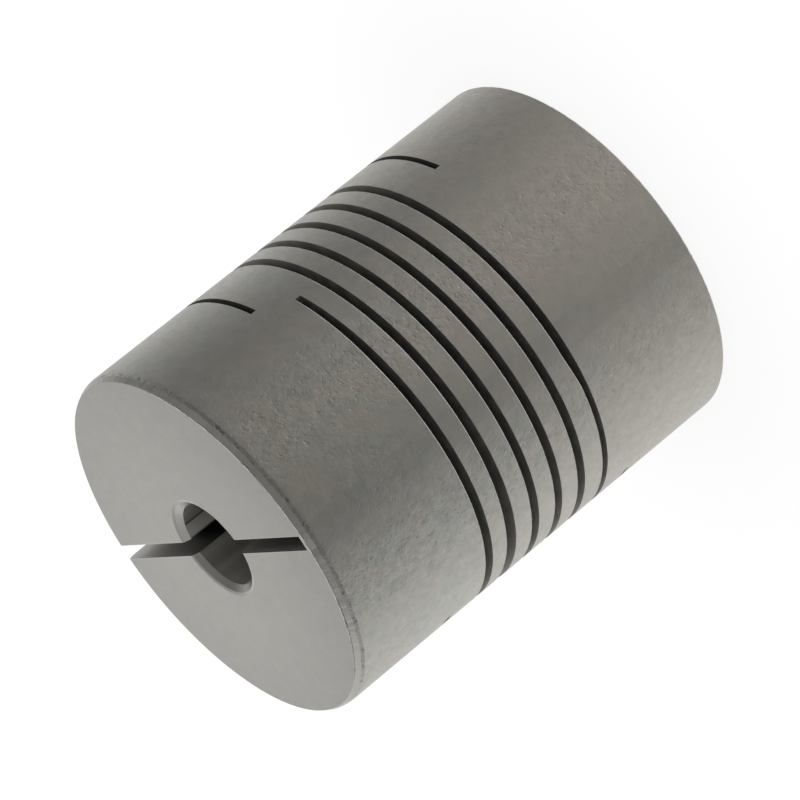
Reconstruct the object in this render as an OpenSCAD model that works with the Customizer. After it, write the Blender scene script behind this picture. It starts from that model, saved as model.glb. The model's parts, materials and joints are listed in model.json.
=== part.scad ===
// Helical beam shaft coupling with two integral clamp hubs.
// It stands on one end: Z is the shaft axis, and the slits open towards -X.

/* [Body] */
// Outside diameter
body_d = 25; // [23:0.5:32]
// Length from end face to end face
body_len = 32; // [26:0.5:50]
// Length of the upper edge's bevel along the axis
bevel_len = 0.6; // [0.2:0.05:0.8]
// Depth of the upper edge's bevel across the axis
bevel_depth = 0.25; // [0.1:0.05:0.4]
// Chamfer of the lower edge, which is only broken
lower_edge = 0.1; // [0.05:0.05:0.4]

/* [Bore] */
// Diameter of the shaft bore
bore_d = 6; // [4:0.5:8]
// Chamfer at each mouth of the bore
bore_chamfer = 0.45; // [0.2:0.05:0.8]
// Radial step from the shaft bore out to the relief bore inside the beam
relief_step = 0.5; // [0.2:0.1:1]
// Shaft bore that is left past the cross cut, before the relief begins
bore_past_cut = 0.8; // [0.4:0.1:1.2]

/* [Hub cuts] */
// Width of the slit that splits each hub
slit_w = 1; // [0.6:0.1:1.6]
// Wall that closes the slit on the outside, opposite its mouth
slit_web = 0.65; // [0.5:0.05:1.2]
// Width of the thin saw cuts
saw_w = 0.42; // [0.3:0.02:0.56]
// Length of the upper hub, from its end face to the middle of its cross cut
upper_hub = 8.3; // [7:0.05:10]
// Length of the lower hub, from its end face to the middle of its cross cut
lower_hub = 8.05; // [7:0.05:10]
// Depth of the cross cut past the bore
cross_past_bore = 2.4; // [1:0.05:4]

/* [Helical slot] */
// Height of one turn
helix_pitch = 2.01; // [1.6:0.01:3]
// Full width of the slot
helix_w = 0.6; // [0.58:0.02:0.9]
// Land between the upper cross cut and the upper end of the slot
start_land = 2; // [1.2:0.05:3]
// Land between the lower end of the slot and the lower cross cut
end_land = 1.75; // [1.2:0.05:3]
// Direction of the upper end, turned from the closed side of the slit
start_angle = 58; // [0:1:359]
// Angle of the thin stretch that ends the slot
thin_angle = 117; // [30:1:180]
// Angle over which the slot steps down to the thin stretch
kink_angle = 10; // [6:1:20]
// Extra width where the slot swells
swell_w = 0.2; // [0:0.02:0.3]
// Turns from the upper end to the middle of the swell
swell_turn = 1.36; // [0.6:0.02:2]
// Turns from the middle of the swell to where it fades out
swell_reach = 0.29; // [0.1:0.01:0.5]

/* [Clamp screws] */
// Thread diameter
screw_d = 3; // [2.5:0.5:4]
// Length under the head
screw_len = 10; // [8:1:12]
// Head diameter
head_d = 5.5; // [4.5:0.5:6.5]
// Head height
head_h = 3; // [2:0.5:3.5]
// Width across the flats of the hexagon socket
hex_af = 2.5; // [2:0.5:3]
// Depth of the hexagon socket
hex_depth = 1.5; // [1:0.1:1.8]
// Chamfer on the rim of the head
head_chamfer = 0.3; // [0.1:0.05:0.5]
// Chamfer on the tip of the thread
tip_chamfer = 0.4; // [0.2:0.05:0.6]
// Wall between the bore and the screw hole
screw_wall = 2.8; // [1.5:0.1:3.4]
// Depth of the head's rim below the outside of the body
head_sink = 0.1; // [0:0.05:0.5]
// Gap around the head in its counterbore
head_gap = 0.2; // [0.1:0.05:0.3]
// Gap around the shank in its clearance hole
shank_gap = 0.2; // [0.1:0.05:0.3]
// Gap around the thread in its tapped hole
thread_gap = 0.03; // [0.02:0.01:0.06]

/* [Hidden] */

$fn = 128;
steel = [0.61, 0.61, 0.59];
black_oxide = [0.14, 0.14, 0.15];

body_r = body_d / 2;
bore_r = bore_d / 2;
relief_r = bore_r + relief_step;
// How far a cut runs past the surface that it opens
overrun = 1;

// Heights in a hub of a given length, measured from its end face
function cut_bottom(hub) = hub + saw_w / 2;
function arm_height(hub) = hub - saw_w / 2;
function shaft_len(hub) = cut_bottom(hub) + bore_past_cut;

// Clamp screw: across the slit, in the middle of the arms, with its head flush inside the body
hole_r = screw_d / 2 + shank_gap;
head_r = head_d / 2;
screw_x = -(bore_r + screw_wall + hole_r);
function screw_z(hub) = arm_height(hub) / 2;
seat_y = head_h + head_sink - sqrt(pow(body_r, 2) - pow(head_r - screw_x, 2));

// Helical slot: its lower edge runs from start_z down to end_z
start_z = body_len - cut_bottom(upper_hub) - start_land - saw_w;
end_z = cut_bottom(lower_hub) + end_land;
slot_angle = 360 * (start_z - end_z) / helix_pitch;
steps_per_turn = 45;
slot_steps = ceil(slot_angle * steps_per_turn / 360);

// Lower edge of the slot at t degrees from its upper end
function slot_low(t) = start_z - helix_pitch * t / 360;

// Extra width of the swell at t degrees
function swell(t) =
    let (u = (t / 360 - swell_turn) / swell_reach)
    abs(u) < 1 ? swell_w * pow(cos(90 * u), 2) : 0;

// Width at t degrees: the upper edge starts level, follows the helix, and steps down to the thin stretch
function slot_width(t) =
    let (level = saw_w + helix_pitch * t / 360,
         full = min(helix_w + swell(t), level),
         into_thin = (t - (slot_angle - thin_angle)) / kink_angle,
         share = max(0, min(1, into_thin)))
    full * (1 - share) + saw_w * share;

// Section of the slot at t degrees, from inside the bore to outside the body
function slot_section(t) =
    let (a = start_angle - t,
         low = slot_low(t),
         high = low + slot_width(t))
    [for (p = [[bore_r / 2, low], [body_r + overrun, low], [body_r + overrun, high], [bore_r / 2, high]])
        [p[0] * cos(a), p[0] * sin(a), p[1]]];

// Sweeps the section round the helix
module helical_slot() {
    points = [for (i = [0 : slot_steps]) each slot_section(slot_angle * i / slot_steps)];
    last = 4 * slot_steps;
    sides = [for (i = [0 : slot_steps - 1], j = [0 : 3])
        let (a = 4 * i + j, b = 4 * i + (j + 1) % 4)
        each [[a, b + 4, b], [a, a + 4, b + 4]]];
    ends = [[0, 1, 2, 3], [last + 3, last + 2, last + 1, last]];
    polyhedron(points = points, faces = concat(sides, ends));
}

// Turned blank: bevelled outside, chamfered bore, relief inside the beam
module turned_blank() {
    upper_step = body_len - shaft_len(upper_hub);
    lower_step = shaft_len(lower_hub);
    rotate_extrude()
        polygon([
            [bore_r + bore_chamfer, 0],
            [body_r - lower_edge, 0],
            [body_r, lower_edge],
            [body_r, body_len - bevel_len],
            [body_r - bevel_depth, body_len],
            [bore_r + bore_chamfer, body_len],
            [bore_r, body_len - bore_chamfer],
            [bore_r, upper_step],
            [relief_r, upper_step - relief_step],
            [relief_r, lower_step + relief_step],
            [bore_r, lower_step],
            [bore_r, bore_chamfer]
        ]);
}

// Slit and cross cut of a hub that has its end face at z = 0
module hub_cuts(hub) {
    mouth_x = -body_r - overrun;
    translate([mouth_x, -slit_w / 2, -overrun])
        cube([body_r - slit_web - mouth_x, slit_w, cut_bottom(hub) + overrun]);
    translate([mouth_x, -body_r - overrun, arm_height(hub)])
        cube([bore_r + cross_past_bore - mouth_x, body_d + 2 * overrun, saw_w]);
}

// Clearance hole and counterbore in one arm, tapped hole through the other
module screw_hole(hub) {
    reach = body_r + overrun;
    translate([screw_x, 0, screw_z(hub)])
        rotate([-90, 0, 0]) {
            translate([0, 0, -reach])
                cylinder(h = reach + seat_y, r = head_r + head_gap);
            translate([0, 0, seat_y - overrun])
                cylinder(h = overrun - seat_y, r = hole_r);
            cylinder(h = reach, r = screw_d / 2 + thread_gap);
        }
}

// Turns its children over, into the upper hub
module in_upper_hub() {
    translate([0, 0, body_len])
        mirror([0, 0, 1])
            children();
}

module coupling_body() {
    color(steel)
        difference() {
            turned_blank();
            hub_cuts(lower_hub);
            screw_hole(lower_hub);
            in_upper_hub() {
                hub_cuts(upper_hub);
                screw_hole(upper_hub);
            }
            helical_slot();
        }
}

// Socket-head cap screw in a hub that has its end face at z = 0, its head seated in the counterbore
module clamp_screw(hub) {
    shank_r = screw_d / 2;
    color(black_oxide)
        translate([screw_x, seat_y, screw_z(hub)])
            rotate([-90, 0, 0])
                difference() {
                    rotate_extrude()
                        polygon([
                            [0, -head_h],
                            [head_r - head_chamfer, -head_h],
                            [head_r, head_chamfer - head_h],
                            [head_r, 0],
                            [shank_r, 0],
                            [shank_r, screw_len - tip_chamfer],
                            [shank_r - tip_chamfer, screw_len],
                            [0, screw_len]
                        ]);
                    translate([0, 0, -head_h - overrun])
                        cylinder(h = hex_depth + overrun, d = hex_af / cos(30), $fn = 6);
                }
}

module upper_clamp_screw() {
    in_upper_hub()
        clamp_screw(upper_hub);
}

module lower_clamp_screw() {
    clamp_screw(lower_hub);
}

coupling_body();
upper_clamp_screw();
lower_clamp_screw();
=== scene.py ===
"""Looks of a helical beam shaft coupling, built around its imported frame.

The body is remade as a fine mesh with a worn rim and broken edges, and the clamp screws get threads and
knurled heads. Sizes are in millimetres, and each finished mesh is scaled to metres once.
"""
import json
import math
from collections import namedtuple

import bmesh
import bpy
from mathutils import Matrix, Quaternion, Vector, noise

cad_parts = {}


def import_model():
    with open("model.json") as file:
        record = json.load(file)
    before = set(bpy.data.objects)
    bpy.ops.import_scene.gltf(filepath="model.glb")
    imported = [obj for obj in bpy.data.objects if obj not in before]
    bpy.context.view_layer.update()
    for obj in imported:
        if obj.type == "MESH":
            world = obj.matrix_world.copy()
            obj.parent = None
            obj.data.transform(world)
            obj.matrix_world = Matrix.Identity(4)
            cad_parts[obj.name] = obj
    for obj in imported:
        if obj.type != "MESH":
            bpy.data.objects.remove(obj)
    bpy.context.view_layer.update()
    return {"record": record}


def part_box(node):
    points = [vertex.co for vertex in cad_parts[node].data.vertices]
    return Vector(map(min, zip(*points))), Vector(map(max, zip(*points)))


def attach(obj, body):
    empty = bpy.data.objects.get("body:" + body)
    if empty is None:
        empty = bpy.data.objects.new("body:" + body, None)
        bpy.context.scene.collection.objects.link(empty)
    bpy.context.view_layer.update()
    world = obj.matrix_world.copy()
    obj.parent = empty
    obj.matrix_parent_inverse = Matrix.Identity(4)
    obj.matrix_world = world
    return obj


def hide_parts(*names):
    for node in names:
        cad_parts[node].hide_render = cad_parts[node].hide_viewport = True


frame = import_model()

# Sizes that the frame gives
MM = 0.001
mounts = {mount["name"]: mount for mount in frame["record"]["mounts"]}
body_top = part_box("coupling_body")[1] / MM
BODY_R = round(body_top.x, 2)
BODY_LEN = round(body_top.z, 2)
BORE_R = mounts["upper_bore"]["dims"]["r_mm"]
screw_low, screw_high = (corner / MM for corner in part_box("lower_clamp_screw"))
SCREW_X = (screw_low.x + screw_high.x) / 2
HEAD_R = (screw_high.x - screw_low.x) / 2

# Bore: each mouth has a chamfer, and a shallow rounding between the chamfer and the face
BORE_CHAMFER = 0.45
MOUTH_DEPTH = 0.38
MOUTH_ROUND_W = 0.15
MOUTH_ROUND_DEPTH = 0.05
MOUTH_R = BORE_R + BORE_CHAMFER + MOUTH_ROUND_W
ROUND_R = BORE_R + BORE_CHAMFER * (1 - MOUTH_ROUND_DEPTH / MOUTH_DEPTH)
RELIEF_STEP = 0.5
BORE_PAST_CUT = 0.8

# Upper rim, from the outside to the face: a soft roll, a shallow worn stripe, a bevel, and a worn lip
ROLL_W = 0.24
ROLL_DEPTH = 0.016
STRIPE_END = 0.62
STRIPE_DEPTH = 0.06
BEVEL_END = 0.36
BEVEL_DEPTH = 0.25
BEVEL_R = BODY_R - BEVEL_DEPTH
LIP_END = 0.05
LIP_W = 0.06
LIP_MIN = 0.012
LOWER_EDGE = 0.1

# Worn side of the rim, in degrees: its direction, and the turns from it where wear starts to fade and ends
WORN_SIDE = 15
WORN_FULL = 45
WORN_END = 75

# Waves of wear, each with its share and its lumps to the millimetre, and each edge's own place in the noise
WEAR_WAVES = [(0.5, 0.8), (0.5, 2.7), (0.4, 6.3)]
STRIPE_SEED, BEVEL_SEED, LIP_SEED, LOWER_SEED, LIP_W_SEED = 40, 80, 120, 160, 200

# What wear does: it moves the rim's edges, widens the lip, and changes thin edges by one part in so many
RIM_WEAR = 0.085
LIP_WEAR = 2 * RIM_WEAR
EDGE_PARTS = 3

# Hub cuts
SLIT_W = 1.0
SLIT_WEB = 0.65
SAW_W = 0.42
CROSS_PAST_BORE = 2.4

# Helical slot
HELIX_PITCH = 2.01
HELIX_W = 0.6
START_LAND = 2.0
END_LAND = 1.75
START_ANGLE = 58
THIN_ANGLE = 117
KINK_ANGLE = 10
SWELL_W = 0.2
SWELL_TURN = 1.36
SWELL_REACH = 0.29
FLARE_W = 0.06
FLARE_DEPTH = 0.035

# Clamp screws
SCREW_R = 1.5
HEAD_H = 3.0
SCREW_LEN = screw_high.y - screw_low.y - HEAD_H
SEAT_Y = screw_low.y + HEAD_H
HEAD_CHAMFER = 0.3
HEAD_ROUND = HEAD_CHAMFER / 3
KNURL_DEPTH = 0.06
KNURL_PLAIN = 0.4
HEX_AF = 2.5
HEX_DEPTH = 1.5
HEX_CONE = 0.3
HEX_TIP_R = 0.3
HEX_MOUTH = 0.12
NECK_FILLET = 0.1
TIP_CHAMFER = 0.4
HEAD_GAP = 0.2
SHANK_GAP = 0.2

# Thread: its crest and its flank are shares of half a pitch
THREAD_PITCH = 0.5
THREAD_DEPTH = 0.31
THREAD_CREST = 0.125
THREAD_FLANK = 0.625
THREAD_GAP = 0.03
TAP_R = 1.25

# Fine steps of the meshes, and how far a cut runs past the surface that it opens
BODY_COLUMNS = 720
SLOT_STEP = 1.5
SCREW_COLUMNS = 96
THREAD_ROWS = 12
NECK_ROWS = THREAD_ROWS // 3
OVERRUN = 0.2
MERGE_GAP = 0.001
CREASE_ANGLE = math.radians(8)

# Material places on the body
SKIN, FACE, RIM, EDGE, CUT, SLIT, BORE = range(7)

# A hub's length runs from its end face to the middle of its cross cut, and depths run from the same face
Hub = namedtuple("Hub", "name upper length screw_depth")


def make_hub(name, upper):
    length = mounts[name + "_bore"]["dims"]["length_mm"] + BORE_CHAMFER - BORE_PAST_CUT - SAW_W / 2
    low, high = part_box(name + "_clamp_screw")
    screw_z = (low.z + high.z) / 2 / MM
    return Hub(name, upper, length, BODY_LEN - screw_z if upper else screw_z)


LOWER, UPPER = make_hub("lower", False), make_hub("upper", True)
SLOT_TOP = BODY_LEN - UPPER.length - SAW_W / 2 - START_LAND - SAW_W
SLOT_END = LOWER.length + SAW_W / 2 + END_LAND
SLOT_ANGLE = 360 * (SLOT_TOP - SLOT_END) / HELIX_PITCH


# Mesh helpers

def clamped(share):
    return max(0, min(1, share))


def polar(r, degrees, z):
    angle = math.radians(degrees)
    return Vector((r * math.cos(angle), r * math.sin(angle), z))


def in_hub(hub, x, y, depth):
    """Point at a depth below a hub's end face."""
    return Vector((x, y, BODY_LEN - depth if hub.upper else depth))


def around(count):
    """Directions of so many columns round an axis, in degrees."""
    return [360 * i / count for i in range(count)]


def new_object(name, points, faces, indices=None):
    """A mesh object in millimetres. indices gives each face's material place."""
    mesh = bpy.data.meshes.new(name)
    mesh.from_pydata([tuple(p) for p in points], [], faces)
    if indices:
        mesh.polygons.foreach_set("material_index", indices)
    mesh.update()
    obj = bpy.data.objects.new(name, mesh)
    bpy.context.scene.collection.objects.link(obj)
    return obj


def skin_rings(rings, sides):
    """Faces between rings of equally many points, with flat ends.

    sides gives the material place of each side.
    """
    count = len(rings[0])
    points = [p for ring in rings for p in ring]
    faces, indices = [], []
    for i in range(len(rings) - 1):
        for j in range(count):
            a, b = i * count + j, i * count + (j + 1) % count
            faces.append((a, b, b + count, a + count))
            indices.append(sides[j])
    last = (len(rings) - 1) * count
    faces += [tuple(reversed(range(count))), tuple(range(last, last + count))]
    indices += [sides[0], sides[0]]
    return points, faces, indices


def orient_outwards(obj):
    """Turns the faces of a closed mesh outwards."""
    work = bmesh.new()
    work.from_mesh(obj.data)
    bmesh.ops.recalc_face_normals(work, faces=work.faces)
    work.to_mesh(obj.data)
    work.free()


def finish_mesh(obj):
    """Drops needless points, scales to metres, and shades smooth between creases and borders of materials."""
    work = bmesh.new()
    work.from_mesh(obj.data)
    bmesh.ops.remove_doubles(work, verts=work.verts, dist=MERGE_GAP)
    bmesh.ops.dissolve_verts(work, verts=[v for v in work.verts if len(v.link_edges) == 2])
    bmesh.ops.scale(work, vec=(MM, MM, MM), verts=work.verts)
    for face in work.faces:
        face.smooth = True
    for edge in work.edges:
        same = len({face.material_index for face in edge.link_faces}) == 1
        edge.smooth = same and edge.calc_face_angle(math.pi) < CREASE_ANGLE
    work.to_mesh(obj.data)
    work.free()


# Body

def wear(degrees, seed):
    """Uneven wear along an edge, from about -1 to 1, at a direction round the axis."""
    place = polar(BODY_R, degrees, seed)
    return sum(share * noise.noise(place * per_mm) for share, per_mm in WEAR_WAVES)


def worn_share(degrees):
    """How far the lip is worn at a direction: fully around the worn side, and hardly at all away from it."""
    turn = abs((degrees - WORN_SIDE + 180) % 360 - 180)
    return clamped((WORN_END - turn) / (WORN_END - WORN_FULL))


def blank_profile(degrees):
    """Points of the turned section at one direction, each with the material of the side that follows it."""
    stripe = STRIPE_END + RIM_WEAR * wear(degrees, STRIPE_SEED)
    bevel = BEVEL_END + RIM_WEAR * wear(degrees, BEVEL_SEED)
    worn = worn_share(degrees)
    lip = max(LIP_MIN, worn * (LIP_END + RIM_WEAR * wear(degrees, LIP_SEED)))
    lip_w = max(LIP_MIN, worn * (LIP_W + LIP_WEAR * wear(degrees, LIP_W_SEED)))
    lower = LOWER_EDGE * (1 + wear(degrees, LOWER_SEED) / EDGE_PARTS)
    upper_step = BODY_LEN - UPPER.length - SAW_W / 2 - BORE_PAST_CUT
    lower_step = LOWER.length + SAW_W / 2 + BORE_PAST_CUT
    return [
        (MOUTH_R, 0, FACE),
        (BODY_R - lower, 0, EDGE),
        (BODY_R, lower, SKIN),
        (BODY_R, BODY_LEN - stripe - ROLL_W, SKIN),
        (BODY_R - ROLL_DEPTH / 4, BODY_LEN - stripe - ROLL_W / 2, SKIN),
        (BODY_R - ROLL_DEPTH, BODY_LEN - stripe, RIM),
        (BODY_R - STRIPE_DEPTH, BODY_LEN - bevel, FACE),
        (BEVEL_R, BODY_LEN - lip, RIM),
        (BEVEL_R - lip_w, BODY_LEN, FACE),
        (MOUTH_R, BODY_LEN, FACE),
        (ROUND_R, BODY_LEN - MOUTH_ROUND_DEPTH, FACE),
        (BORE_R, BODY_LEN - MOUTH_DEPTH, BORE),
        (BORE_R, upper_step, BORE),
        (BORE_R + RELIEF_STEP, upper_step - RELIEF_STEP, BORE),
        (BORE_R + RELIEF_STEP, lower_step + RELIEF_STEP, BORE),
        (BORE_R, lower_step, BORE),
        (BORE_R, MOUTH_DEPTH, FACE),
        (ROUND_R, MOUTH_ROUND_DEPTH, FACE),
    ]


def turned_blank():
    """Bored bar before its cuts."""
    columns = around(BODY_COLUMNS)
    sections = [blank_profile(a) for a in columns]
    count = len(sections[0])
    points = [polar(r, a, z) for a, section in zip(columns, sections) for r, z, _ in section]
    faces, indices = [], []
    for i in range(BODY_COLUMNS):
        near, far = i * count, (i + 1) % BODY_COLUMNS * count
        for j in range(count):
            k = (j + 1) % count
            faces.append((near + j, far + j, far + k, near + k))
            indices.append(sections[0][j][2])
    return new_object("machined_body", points, faces, indices)


def slot_width(t):
    """Width of the helical slot at t degrees from its upper end, as the part's source has it."""
    level = SAW_W + HELIX_PITCH * t / 360
    from_swell = (t / 360 - SWELL_TURN) / SWELL_REACH
    swell = SWELL_W * math.cos(math.pi / 2 * from_swell) ** 2 if abs(from_swell) < 1 else 0
    full = min(HELIX_W + swell, level)
    share = clamped((t - (SLOT_ANGLE - THIN_ANGLE)) / KINK_ANGLE)
    return full * (1 - share) + SAW_W * share


def helical_slot():
    """Cutter of the slot, with a worn flare along its upper edge."""
    rings = []
    steps = math.ceil(SLOT_ANGLE / SLOT_STEP)
    for i in range(steps + 1):
        t = SLOT_ANGLE * i / steps
        low = SLOT_TOP - HELIX_PITCH * t / 360
        high = low + slot_width(t)
        depth = FLARE_DEPTH * (1 + wear(START_ANGLE - t, low) / EDGE_PARTS)
        flare = FLARE_W * (depth + OVERRUN) / FLARE_DEPTH
        section = [
            (BORE_R / 2, low),
            (BODY_R + OVERRUN, low),
            (BODY_R + OVERRUN, high + flare),
            (BODY_R - depth, high),
            (BORE_R / 2, high),
        ]
        rings.append([polar(r, START_ANGLE - t, z) for r, z in section])
    return new_object("slot_cutter", *skin_rings(rings, [CUT, CUT, EDGE, CUT, CUT]))


def cut_along_x(name, hub, section, x_to):
    """Cutter with a section in Y and depth that runs along X from outside the body."""
    rings = [[in_hub(hub, x, y, depth) for y, depth in section] for x in (-BODY_R - OVERRUN, x_to)]
    return new_object(name, *skin_rings(rings, [SLIT] * len(section)))


def hub_slit(hub):
    """Cutter of the slit between a hub's arms, down to the cross cut."""
    half = SLIT_W / 2
    section = [(-half, hub.length), (-half, -OVERRUN), (half, -OVERRUN), (half, hub.length)]
    return cut_along_x("slit_cutter", hub, section, BODY_R - SLIT_WEB)


def cross_cut(hub):
    """Cutter of the saw cut that frees a hub's arms."""
    reach = BODY_R + OVERRUN
    low, high = hub.length - SAW_W / 2, hub.length + SAW_W / 2
    section = [(-reach, low), (reach, low), (reach, high), (-reach, high)]
    return cut_along_x("cross_cutter", hub, section, BORE_R + CROSS_PAST_BORE)


def thread_radius(degrees, h):
    """Outside of the screw's thread at a direction and a height below the head."""
    turn = (h / THREAD_PITCH - degrees / 360) % 1
    from_crest = abs(turn - 0.5) * 2
    return SCREW_R - THREAD_DEPTH * clamped((from_crest - THREAD_CREST) / THREAD_FLANK)


def screw_ring(hub, radius, h):
    """Ring of a screw or its hole, h below the head's seat.

    radius is a number, or a function of the direction.
    """
    ring = []
    for a in around(SCREW_COLUMNS):
        r = radius(a) if callable(radius) else radius
        offset = polar(r, a, 0)
        ring.append(in_hub(hub, SCREW_X + offset.x, SEAT_Y + h, hub.screw_depth - offset.y))
    return ring


def screw_hole(hub):
    """Cutter of the counterbore, the clearance hole up to the slit, and the tapped hole beyond it."""
    middle = -SEAT_Y
    reach = BODY_R + OVERRUN
    rings = [
        screw_ring(hub, HEAD_R + HEAD_GAP, -reach),
        screw_ring(hub, HEAD_R + HEAD_GAP, 0),
        screw_ring(hub, SCREW_R + SHANK_GAP, 0),
        screw_ring(hub, SCREW_R + SHANK_GAP, middle),
    ]
    for i in range(math.ceil(reach / THREAD_PITCH * THREAD_ROWS)):
        h = middle + i * THREAD_PITCH / THREAD_ROWS
        rings.append(screw_ring(hub, lambda a: max(TAP_R, thread_radius(a, h) + THREAD_GAP), h))
    return new_object("hole_cutter", *skin_rings(rings, [CUT] * SCREW_COLUMNS))


def machined_body(materials):
    """Turned blank with all its cuts. materials are in the order of the material places."""
    body = turned_blank()
    cutters = [make(hub) for hub in (LOWER, UPPER) for make in (hub_slit, cross_cut, screw_hole)]
    cutters.append(helical_slot())
    for obj in [body] + cutters:
        orient_outwards(obj)
        for material in materials:
            obj.data.materials.append(material)
    for cutter in cutters:
        cut = body.modifiers.new(cutter.name, "BOOLEAN")
        cut.operation = "DIFFERENCE"
        cut.solver = "EXACT"
        cut.object = cutter
    graph = bpy.context.evaluated_depsgraph_get()
    mesh = bpy.data.meshes.new_from_object(body.evaluated_get(graph))
    body.modifiers.clear()
    body.data = mesh
    for cutter in cutters:
        bpy.data.objects.remove(cutter)
    finish_mesh(body)
    return body


# Clamp screws

def hexagon(degrees):
    """Radius of the socket's hexagon at a direction."""
    return HEX_AF / 2 / math.cos(math.radians(degrees % 60 - 30))


def knurl(degrees):
    """Radius of the knurled head, which has a tooth on every other column."""
    return HEAD_R - KNURL_DEPTH * (round(degrees * SCREW_COLUMNS / 360) % 2)


def cap_screw(hub, material):
    """Socket-head cap screw: hexagon socket, knurled head, thread with a chamfered tip."""
    top = -HEAD_H
    tooth_root = HEAD_R - KNURL_DEPTH
    plan = [
        (HEX_TIP_R, top + HEX_DEPTH + HEX_CONE),
        (hexagon, top + HEX_DEPTH),
        (hexagon, top + HEX_MOUTH),
        (lambda a: hexagon(a) + HEX_MOUTH, top),
        (HEAD_R - HEAD_CHAMFER, top),
        (HEAD_R - HEAD_ROUND, top + HEAD_ROUND),
        (tooth_root, top + HEAD_CHAMFER),
        (knurl, top + HEAD_CHAMFER + KNURL_DEPTH),
        (knurl, -KNURL_PLAIN),
        (tooth_root, KNURL_DEPTH - KNURL_PLAIN),
        (tooth_root, -NECK_FILLET),
        (tooth_root - NECK_FILLET, 0),
        (SCREW_R + NECK_FILLET, 0),
        (SCREW_R, NECK_FILLET),
    ]
    rings = [screw_ring(hub, radius, h) for radius, h in plan]
    count = round(SCREW_LEN / THREAD_PITCH * THREAD_ROWS)
    for i in range(NECK_ROWS, count + 1):
        h = SCREW_LEN * i / count
        cone = SCREW_R - TIP_CHAMFER + SCREW_LEN - h
        rings.append(screw_ring(hub, lambda a: min(cone, thread_radius(a, h)), h))
    screw = new_object(hub.name + "_cap_screw", *skin_rings(rings, [0] * SCREW_COLUMNS))
    screw.data.materials.append(material)
    orient_outwards(screw)
    finish_mesh(screw)
    return screw


# Materials

STEEL = (0.455, 0.463, 0.433)
WARM_STEEL = (0.49, 0.468, 0.426)
FACED_STEEL = (0.418, 0.406, 0.377)
DULL_STEEL = (0.39, 0.385, 0.36)
# Colour of painted highlights, for bright specks on the outside and for thin edges
PAINTED_HIGHLIGHT_STEEL = (0.54, 0.53, 0.5)
SLIT_STEEL = (0.25, 0.247, 0.235)
SAWN_STEEL = (0.6, 0.585, 0.55)
BLACK_OXIDE = (0.05, 0.05, 0.054)
RUBBED_OXIDE = (0.075, 0.075, 0.078)

# Noise: the span of most of its values, the span over which it fades between two colours, and its mean
NOISE_SPAN = (0.3, 0.7)
FADE_SPAN = (0.35, 0.65)
NOISE_MEAN = 0.5


def shade(color, share):
    return tuple(c * share for c in color)


def new_material(name):
    material = bpy.data.materials.new(name)
    material.use_nodes = True
    return material


class Finish:
    """A metal finish: a Principled shader, and short calls that add nodes before it.

    Places are in millimetres, and a span is a pair of values.
    """

    def __init__(self, name):
        self.material = new_material(name)
        self.nodes = self.material.node_tree.nodes
        self.links = self.material.node_tree.links
        self.shader = self.nodes["Principled BSDF"]
        self.shader.inputs["Metallic"].default_value = 1.0
        metres = self.nodes.new("ShaderNodeTexCoord").outputs["Object"]
        self.place = self.stretched((1 / MM, 1 / MM, 1 / MM), metres)

    def add(self, kind, inputs, output=0, **settings):
        """A new node's output. inputs gives a value or another node's output for each socket."""
        node = self.nodes.new("ShaderNode" + kind)
        for key, value in settings.items():
            setattr(node, key, value)
        for key, value in inputs.items():
            if isinstance(value, bpy.types.NodeSocket):
                self.links.new(value, node.inputs[key])
            else:
                node.inputs[key].default_value = value
        return node.outputs[output]

    def stretched(self, factors, place=None):
        """Places times a factor for each axis."""
        return self.add("VectorMath", {0: place or self.place, 1: factors}, operation="MULTIPLY")

    def noise(self, per_mm, detail=2.0, place=None):
        """Noise with about so many lumps to the millimetre."""
        return self.add("TexNoise", {"Vector": place or self.place, "Scale": per_mm, "Detail": detail})

    def spread(self, value, span, low=0, high=1):
        """Maps the span to low..high, and holds the ends."""
        return self.add("MapRange", {0: value, 1: span[0], 2: span[1], 3: low, 4: high})

    def math(self, operation, a, b=0.0, c=0.0):
        return self.add("Math", {0: a, 1: b, 2: c}, operation=operation)

    def times(self, a, b):
        return self.math("MULTIPLY", a, b)

    def distance(self, value, middle=0.0):
        """How far a value is from a middle one."""
        return self.math("ABSOLUTE", self.math("SUBTRACT", value, middle))

    def along(self, axis):
        """Place along X, Y or Z."""
        return self.add("SeparateXYZ", {0: self.place}, output=axis)

    def angle(self):
        """Direction round the axis, in degrees."""
        return self.times(self.math("ARCTAN2", self.along("Y"), self.along("X")), math.degrees(1))

    def tones(self, changes):
        """Product of tones, each given as an axis, a span of places along it, and the tones at its ends."""
        product = 1.0
        for axis, span, (low, high) in changes:
            product = self.times(product, self.spread(self.along(axis), span, low, high))
        return product

    def mix(self, share, a, b):
        """Colour a with a share of colour b."""
        return self.add("Mix", {0: share, 6: (*a, 1) if isinstance(a, tuple) else a, 7: (*b, 1)}, output=2,
                        data_type="RGBA")

    def mottled(self, value, color, shades, span=FADE_SPAN):
        """One colour that a noise spreads between two shades."""
        return self.mix(self.spread(value, span), shade(color, shades[0]), shade(color, shades[1]))

    def dimmed(self, color, share):
        return self.add("VectorMath", {0: color, "Scale": share}, operation="SCALE")

    def bump(self, height, depth):
        """Relief with its full height of depth millimetres."""
        normal = self.add("Bump", {"Height": height, "Distance": depth * MM})
        self.links.new(normal, self.shader.inputs["Normal"])

    def use(self, color, grain, smooth, rough):
        """The material, with a colour and with a roughness that the grain spreads from smooth to rough."""
        self.links.new(color, self.shader.inputs["Base Color"])
        self.links.new(self.spread(grain, NOISE_SPAN, smooth, rough), self.shader.inputs["Roughness"])
        return self.material
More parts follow.
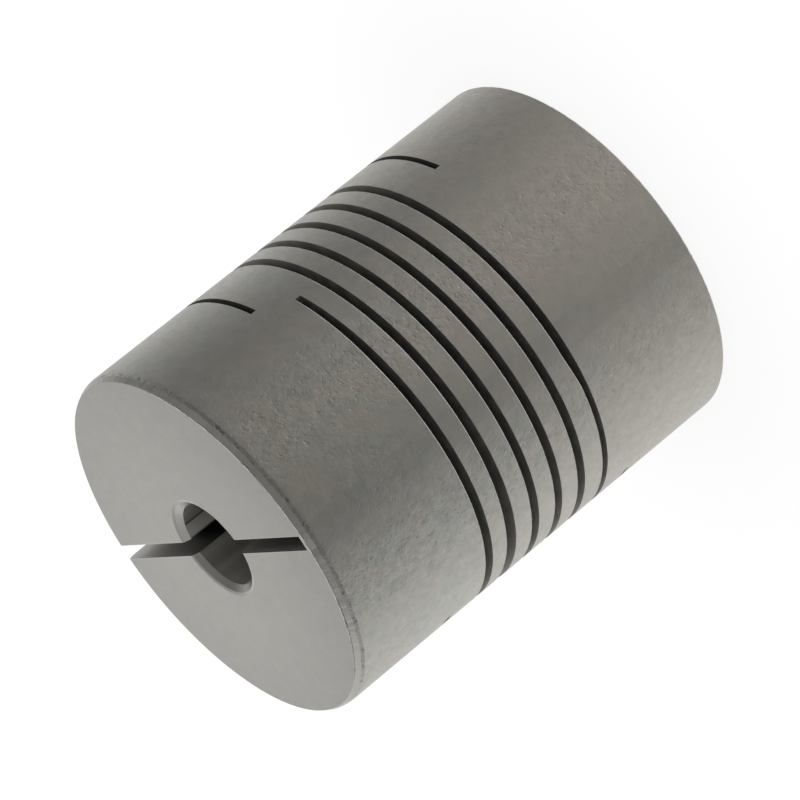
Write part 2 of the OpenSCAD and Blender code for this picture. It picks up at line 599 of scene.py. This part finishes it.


# Outside: two bands of stronger grain, painted shade and painted highlight, at a turn in degrees to each side
# of their middle, and changes by the height
BANDS_MIDDLE = 5
BANDS_TURN = 25
BAND_FADE = (4, 18)
PATCH_SPAN = (0.45, 0.65)
PLAIN_GRAIN = 0.15
PATCH_GRAIN = 0.5
LOW_GRAIN = 0.6
GRAIN_HEIGHTS = (8, 20)
CRATER_SPAN = (0.58, 0.68)
CRATER_DEPTH = 0.45
CRATER_PAINTED_SHADE = 0.86
LOW_WARMTH = 0.2
WARM_HEIGHTS = (6, 22)
PLAIN_SMUDGE = 0.2
FULL_SMUDGE = 0.5
PAINTED_GLINT_SPAN = (0.62, 0.74)


def blasted_steel():
    """Outside of the body: blasted grain, stronger in two bands and in patches, with a faint warm mottle,
    painted shade in the craters and painted highlight specks.
    """
    finish = Finish("blasted_steel")
    height = finish.along("Z")
    from_band = finish.distance(finish.distance(finish.angle(), BANDS_MIDDLE), BANDS_TURN)
    band = finish.spread(from_band, BAND_FADE, 1, PLAIN_GRAIN)
    patch = finish.spread(finish.noise(per_mm=0.1), PATCH_SPAN, PLAIN_GRAIN, PATCH_GRAIN)
    by_height = finish.spread(height, GRAIN_HEIGHTS, LOW_GRAIN, 1)
    strength = finish.times(finish.math("MAXIMUM", band, patch), by_height)
    grain = finish.noise(per_mm=3.4, detail=3)
    craters = finish.spread(finish.noise(per_mm=3.2), CRATER_SPAN)
    uneven = finish.math("SUBTRACT", grain, finish.times(craters, CRATER_DEPTH))
    finish.bump(finish.times(uneven, strength), depth=0.04)
    mottle = finish.noise(per_mm=0.55, detail=3)
    warmth = finish.math("ADD", mottle, finish.spread(height, WARM_HEIGHTS, LOW_WARMTH, 0))
    color = finish.mix(finish.spread(warmth, FADE_SPAN), STEEL, WARM_STEEL)
    smudge = finish.math("SUBTRACT", finish.noise(per_mm=1.4), NOISE_MEAN)
    swing = finish.spread(strength, (PLAIN_GRAIN, 1), PLAIN_SMUDGE, FULL_SMUDGE)
    color = finish.dimmed(color, finish.math("MULTIPLY_ADD", smudge, swing, 1))
    # Painted shade: the colour is darker inside the craters
    color = finish.dimmed(color, finish.spread(finish.times(craters, strength), (0, 1), 1, CRATER_PAINTED_SHADE))
    # Painted highlight: bright specks mixed into the colour where the grain is strong
    painted_glints = finish.times(finish.spread(finish.noise(per_mm=2.8), PAINTED_GLINT_SPAN), strength)
    return finish.use(finish.mix(painted_glints, color, PAINTED_HIGHLIGHT_STEEL), grain, smooth=0.4, rough=0.5)


# Faces: shades of the mottle, painted light halfway out and painted shade at the outside, and painted
# highlight lines beside the slit and along the rim's worn side
RINGS_PER_MM = 5.0
FACE_SHADES = (0.97, 1.03)
FACE_MIDDLE_PAINTED_LIGHT = 1.05
FACE_OUTSIDE_PAINTED_SHADE = 0.945
HIGHLIGHT_W = 0.1
SLIT_EDGE = SLIT_W / 2
SLIT_HIGHLIGHT = 1.2
RIM_MIDDLE = BEVEL_R - LIP_W - HIGHLIGHT_W / 2
HIGHLIGHT_TURNS = (35, 60)
RIM_HIGHLIGHT_SPAN = (0.4, 0.6)
LEAST_RIM_HIGHLIGHT = 0.15
MOST_RIM_HIGHLIGHT = 0.6

# Painted light and shade of the bevel and of the bore mouths' chamfers by the place, and the widths over
# which they begin
BEVEL_PAINTED_LIGHT_AND_SHADE = [("Y", (8.5, 12.2), (1.12, 0.75)), ("Y", (-10.8, -3.2), (0.87, 1))]
BEVEL_FADE = 0.02
MOUTH_PAINTED_LIGHT_AND_SHADE = [("Y", (-0.5, 0.5), (0.8, 1.25)), ("X", (-2.6, -1), (1, 0.7))]
MOUTH_FADE = 0.01


def faced_steel():
    """End faces, bevel and bore mouths: smooth, with faint turning rings and a mottle, painted highlight
    lines at the slit and the rim, and painted light and shade by the place.
    """
    finish = Finish("faced_steel")
    radius = finish.add("VectorMath", {0: finish.stretched((1, 1, 0))}, output="Value", operation="LENGTH")
    rings = finish.add("TexNoise", {"W": radius, "Scale": RINGS_PER_MM, "Detail": 2.0}, noise_dimensions="1D")
    grain = finish.noise(per_mm=3.0)
    finish.bump(finish.math("ADD", rings, grain), depth=0.002)
    color = finish.mottled(finish.noise(per_mm=0.9, detail=4), FACED_STEEL, FACE_SHADES, NOISE_SPAN)
    # Painted light and shade: lighter towards the middle of the face, darker towards the outside
    color = finish.dimmed(color, finish.spread(radius, (BODY_R / 2, BODY_R), FACE_MIDDLE_PAINTED_LIGHT, FACE_OUTSIDE_PAINTED_SHADE))
    # Painted highlight: a thin lighter line beside the slit's edges
    from_slit = finish.distance(finish.along("Y"))
    slit_highlight = finish.spread(from_slit, (SLIT_EDGE, SLIT_EDGE + HIGHLIGHT_W), SLIT_HIGHLIGHT, 1)
    # Painted highlight: a thin lighter line along the rim, strongest on its worn side and uneven by a noise
    worn = finish.spread(finish.distance(finish.angle(), WORN_SIDE), HIGHLIGHT_TURNS, 1, 0)
    rub = finish.spread(finish.noise(per_mm=1.6), RIM_HIGHLIGHT_SPAN, LEAST_RIM_HIGHLIGHT, MOST_RIM_HIGHLIGHT)
    rubbed = finish.math("MULTIPLY_ADD", worn, rub, 1)
    rim_highlight = finish.spread(finish.distance(radius, RIM_MIDDLE), (HIGHLIGHT_W / 2, HIGHLIGHT_W), rubbed, 1)
    color = finish.dimmed(color, finish.math("MAXIMUM", slit_highlight, rim_highlight))
    # Painted light and shade: the bevel and the bore mouths' chamfers are lighter on one side and darker on
    # the other
    on_bevel = finish.spread(radius, (BEVEL_R - BEVEL_FADE, BEVEL_R), 1, finish.tones(BEVEL_PAINTED_LIGHT_AND_SHADE))
    in_mouth = finish.spread(radius, (ROUND_R - MOUTH_FADE, ROUND_R), finish.tones(MOUTH_PAINTED_LIGHT_AND_SHADE), 1)
    color = finish.dimmed(color, finish.times(on_bevel, in_mouth))
    return finish.use(color, grain, smooth=0.3, rough=0.35)


# Worn rim: scrapes, dark nicks, and painted light towards both ends of the Y axis
SCRAPE_SPAN = (0.36, 0.6)
SCRAPE_SHADE = 0.85
NICK_SPAN = (0.56, 0.66)
NICK_SHADE = 0.6
RIM_SIDES = (9.5, 12.3)
RIM_SIDE_PAINTED_LIGHT = 1.35


def worn_rim():
    """Worn stripe and lip of the upper rim: dull, with scraped grain, dark nicks and painted light towards
    its sides.
    """
    finish = Finish("worn_rim")
    scrape = finish.noise(per_mm=2.2, detail=4)
    grain = finish.noise(per_mm=5.0)
    nicks = finish.spread(finish.noise(per_mm=1.7), NICK_SPAN)
    finish.bump(finish.math("SUBTRACT", finish.math("ADD", scrape, grain), nicks), depth=0.05)
    color = finish.dimmed(DULL_STEEL, finish.spread(scrape, SCRAPE_SPAN, SCRAPE_SHADE, 1))
    color = finish.mix(nicks, color, shade(DULL_STEEL, NICK_SHADE))
    # Painted light: the rim is lighter towards both ends of the Y axis
    from_middle = finish.distance(finish.along("Y"))
    color = finish.dimmed(color, finish.spread(from_middle, RIM_SIDES, 1, RIM_SIDE_PAINTED_LIGHT))
    return finish.use(color, grain, smooth=0.42, rough=0.52)


# Thin edges: a painted highlight, from a little lighter than the outside to bright
EDGE_SPAN = (0.35, 0.6)
FAINT_EDGE_HIGHLIGHT = shade(STEEL, 1.15)
FULL_EDGE_HIGHLIGHT = shade(PAINTED_HIGHLIGHT_STEEL, 1.3)


def highlighted_edge():
    """The body's lower edge and the flare along the helical slot, with a painted highlight."""
    finish = Finish("highlighted_edge")
    scrape = finish.noise(per_mm=2.5, detail=3)
    finish.bump(scrape, depth=0.004)
    # Painted highlight: the edge colour is lighter than the outside
    color = finish.mix(finish.spread(scrape, EDGE_SPAN), FAINT_EDGE_HIGHLIGHT, FULL_EDGE_HIGHLIGHT)
    return finish.use(color, scrape, smooth=0.3, rough=0.42)


# Tool lines: factors along X, Y and Z that draw a noise out into lines
SLOT_LINES = (1, 1, 8)
SLIT_LINES = (0.15, 1, 4)
BORE_LINES = (1, 1, 0.08)

SLOT_SHADES = (0.77, 0.85)


def sawn_steel():
    """Walls of the helical slot and of the screw holes: light, with fine tool lines."""
    finish = Finish("sawn_steel")
    lines = finish.noise(per_mm=1.2, detail=3, place=finish.stretched(SLOT_LINES))
    finish.bump(lines, depth=0.006)
    color = finish.mottled(lines, SAWN_STEEL, SLOT_SHADES)
    return finish.use(color, lines, smooth=0.5, rough=0.62)


# Slits and cross cuts: painted light at a slit's mouth, past the bore and where a cross cut runs out, and
# painted shade deeper down
SLIT_SHADES = (0.9, 1)
RUN_OUT = (1.5 - BODY_R, 2.5 - BODY_R)
SLIT_PAINTED_LIGHT = [
    ("X", (-BODY_R, -BORE_R), (2.45, 1.08)),
    ("X", (-BORE_R, BORE_R), (1, 1.4)),
    ("Y", RUN_OUT, (2.5, 1)),
]
MOUTH_LIGHT_DEPTHS = (1.6, 2.6)
DEEP_PAINTED_SHADE = 0.3
CROSS_DEPTHS = (7, 7.6)
CROSS_CUT_PAINTED_LIGHT = 0.7


def slit_steel():
    """Walls of the slits and cross cuts: darker than the slot, with lines along the cut, painted light near
    their openings and painted shade deeper down.
    """
    finish = Finish("slit_steel")
    lines = finish.noise(per_mm=1.5, detail=3, place=finish.stretched(SLIT_LINES))
    finish.bump(lines, depth=0.005)
    color = finish.mottled(lines, SLIT_STEEL, SLIT_SHADES)
    # Painted light and shade: lighter near the openings and where the cross cut opens, darker deeper down
    depth = finish.math("SUBTRACT", BODY_LEN / 2, finish.distance(finish.along("Z"), BODY_LEN / 2))
    in_slit = finish.spread(depth, MOUTH_LIGHT_DEPTHS, 1, DEEP_PAINTED_SHADE)
    in_cross_cut = finish.spread(depth, CROSS_DEPTHS, 0, CROSS_CUT_PAINTED_LIGHT)
    depth_light_and_shade = finish.math("MAXIMUM", in_slit, in_cross_cut)
    color = finish.dimmed(color, finish.times(finish.tones(SLIT_PAINTED_LIGHT), depth_light_and_shade))
    return finish.use(color, lines, smooth=0.55, rough=0.65)


# Bore: a light strip round a direction, and a dark line at a turn to each side of it, in degrees
BORE_SHADES = (0.85, 1)
STRIP_MIDDLE = 160
STRIP_FADE = (8, 12)
STRIP_SHARE = 0.85
STRIP_STEEL = shade(SAWN_STEEL, 1.5)
LINE_TURN = 11
LINE_FADE = (0.8, 2.4)
LINE_SHADE = 0.4


def bored_steel():
    """Bore: drawn streaks along the axis, and a lighter strip beside the slit with a dark line to each side
    of it.
    """
    finish = Finish("bored_steel")
    streaks = finish.noise(per_mm=1.6, detail=3, place=finish.stretched(BORE_LINES))
    finish.bump(streaks, depth=0.004)
    from_strip = finish.distance(finish.angle(), STRIP_MIDDLE)
    color = finish.mottled(streaks, SAWN_STEEL, BORE_SHADES)
    color = finish.mix(finish.spread(from_strip, STRIP_FADE, STRIP_SHARE, 0), color, STRIP_STEEL)
    from_line = finish.distance(from_strip, LINE_TURN)
    color = finish.dimmed(color, finish.spread(from_line, LINE_FADE, LINE_SHADE, 1))
    return finish.use(color, streaks, smooth=0.5, rough=0.62)


OXIDE_RUB_SPAN = (0.5, 0.72)


def black_oxide():
    """Cap screws: black oxide, rubbed a little lighter in places."""
    finish = Finish("black_oxide")
    grain = finish.noise(per_mm=6.0, detail=3)
    rub = finish.noise(per_mm=1.3, detail=4)
    finish.bump(grain, depth=0.004)
    color = finish.mix(finish.spread(rub, OXIDE_RUB_SPAN), BLACK_OXIDE, RUBBED_OXIDE)
    return finish.use(color, grain, smooth=0.36, rough=0.5)


# Stage

# Camera: angles in degrees, and clipping distances in metres
CAMERA_AZIMUTH = 105.31
CAMERA_ELEVATION = 24.52
CAMERA_ROLL = -128.957
CAMERA_DISTANCE = 330.04
CAMERA_AIM = Vector((0.0065, -0.1626, 16.0805))
CAMERA_LENS = 240.07
CAMERA_SENSOR = 36.0
CAMERA_CLIP = (0.01, 10)

FLOOR_SIZE = 3000.0
FLOOR_GAP = 0.01
FLOOR_GLOW = 0.78
FLOOR_COLOR = (0.25, 0.25, 0.25)

# White tent with a dark front, whose share goes by the turn from the camera's side and the height, in degrees
TENT_R = 120.0
TENT_FRONT = CAMERA_AZIMUTH - 90
TENT_STEP = 2
TENT_WHITE = [(27.5, 1.0), (39.5, 0.5)]
FRONT_ROUND = [(-142, 0), (-110, 0.68), (-85, 0.98), (-55, 0.9), (-25, 1), (5, 0.98), (30, 0.95), (55, 0.7),
               (80, 0.33), (113, 0)]
FRONT_HEIGHT = [(-55, 0), (-35, 0.7), (-15, 0.8), (10, 0.85), (40, 0.44), (90, 0.25)]

# Warm light from low in front
GLOW_TURN = -23
GLOW_HEIGHT = -27
GLOW_WIDE = 34
GLOW_TALL = 30
GLOW_COLOR = (0.25, 0.225, 0.2)


def place_camera():
    """Camera that sees the object as the photo shows it."""
    azimuth, elevation = math.radians(CAMERA_AZIMUTH), math.radians(CAMERA_ELEVATION)
    level = math.cos(elevation)
    back = Vector((math.sin(azimuth) * level, -math.cos(azimuth) * level, math.sin(elevation)))
    data = bpy.data.cameras.new("photo_camera")
    data.lens = CAMERA_LENS
    data.sensor_width = CAMERA_SENSOR
    data.clip_start, data.clip_end = CAMERA_CLIP
    camera = bpy.data.objects.new("photo_camera", data)
    camera.rotation_mode = "QUATERNION"
    roll = Quaternion((0, 0, 1), math.radians(CAMERA_ROLL))
    camera.rotation_quaternion = (-back).to_track_quat("-Z", "Y") @ roll
    camera.location = (CAMERA_AIM + back * CAMERA_DISTANCE) * MM
    bpy.context.scene.collection.objects.link(camera)
    bpy.context.scene.camera = camera


def between(stops, x):
    """Smooth value at x between (place, value) stops."""
    if x <= stops[0][0]:
        return stops[0][1]
    for (x0, y0), (x1, y1) in zip(stops, stops[1:]):
        if x <= x1:
            share = (x - x0) / (x1 - x0)
            share = share * share * (3 - 2 * share)
            return y0 + (y1 - y0) * share
    return stops[-1][1]


def tent_light(turn, height):
    """Light of the tent at a turn from the camera's side and a height."""
    white = between(TENT_WHITE, height) * (1 - between(FRONT_ROUND, turn) * between(FRONT_HEIGHT, height))
    glow = math.exp(-((turn - GLOW_TURN) / GLOW_WIDE) ** 2 - ((height - GLOW_HEIGHT) / GLOW_TALL) ** 2)
    return [white + glow * c for c in GLOW_COLOR] + [1]


def tent_cloth():
    """Cloth that shines in the colours of the tent's points."""
    cloth = new_material("tent_cloth")
    nodes, links = cloth.node_tree.nodes, cloth.node_tree.links
    light = nodes.new("ShaderNodeVertexColor")
    light.layer_name = "light"
    glow = nodes.new("ShaderNodeEmission")
    links.new(light.outputs["Color"], glow.inputs["Color"])
    links.new(glow.outputs["Emission"], nodes["Material Output"].inputs["Surface"])
    return cloth


def light_tent():
    """Tent round the object, which only reflections see."""
    columns, rows = 360 // TENT_STEP, 180 // TENT_STEP
    points, faces, lights = [], [], []
    for i in range(rows + 1):
        height = TENT_STEP * i - 90
        level = math.cos(math.radians(height))
        z = BODY_LEN / 2 + TENT_R * math.sin(math.radians(height))
        for j in range(columns):
            turn = TENT_STEP * j - 180
            points.append(polar(TENT_R * level, TENT_FRONT - turn, z))
            lights += tent_light(turn, height)
    for i in range(rows):
        for j in range(columns):
            a, b = i * columns + j, i * columns + (j + 1) % columns
            faces.append((a, b, b + columns, a + columns))
    tent = new_object("light_tent", points, faces)
    tent.data.transform(Matrix.Scale(MM, 4))
    tent.data.color_attributes.new("light", "FLOAT_COLOR", "POINT").data.foreach_set("color", lights)
    tent.data.materials.append(tent_cloth())
    tent.visible_camera = False
    tent.visible_diffuse = False
    tent.visible_shadow = False


def floor():
    """Pale floor, white where the object does not shade it."""
    half = FLOOR_SIZE / 2
    corners = [(-half, -half), (half, -half), (half, half), (-half, half)]
    plane = new_object("floor", [(x, y, -FLOOR_GAP) for x, y in corners], [(0, 1, 2, 3)])
    plane.data.transform(Matrix.Scale(MM, 4))
    paper = new_material("floor_paper")
    inputs = paper.node_tree.nodes["Principled BSDF"].inputs
    inputs["Base Color"].default_value = (*FLOOR_COLOR, 1)
    inputs["Roughness"].default_value = 1.0
    inputs["Specular IOR Level"].default_value = 0.0
    inputs["Emission Color"].default_value = (1, 1, 1, 1)
    inputs["Emission Strength"].default_value = FLOOR_GLOW
    plane.data.materials.append(paper)
    plane.visible_glossy = False


def world():
    """White surroundings, and colours shown as they are."""
    scene = bpy.context.scene
    scene.world = bpy.data.worlds.new("studio")
    scene.world.use_nodes = True
    background = scene.world.node_tree.nodes["Background"]
    background.inputs["Color"].default_value = (1, 1, 1, 1)
    background.inputs["Strength"].default_value = 1.0
    scene.view_settings.view_transform = "Standard"


# The order of the finishes is that of the material places
finishes = [blasted_steel, faced_steel, worn_rim, highlighted_edge, sawn_steel, slit_steel, bored_steel]
body = machined_body([make() for make in finishes])
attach(body, "root")
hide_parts("coupling_body")

oxide = black_oxide()
for hub in (UPPER, LOWER):
    screw = cap_screw(hub, oxide)
    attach(screw, "root")
    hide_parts(hub.name + "_clamp_screw")

world()
floor()
light_tent()
place_camera()
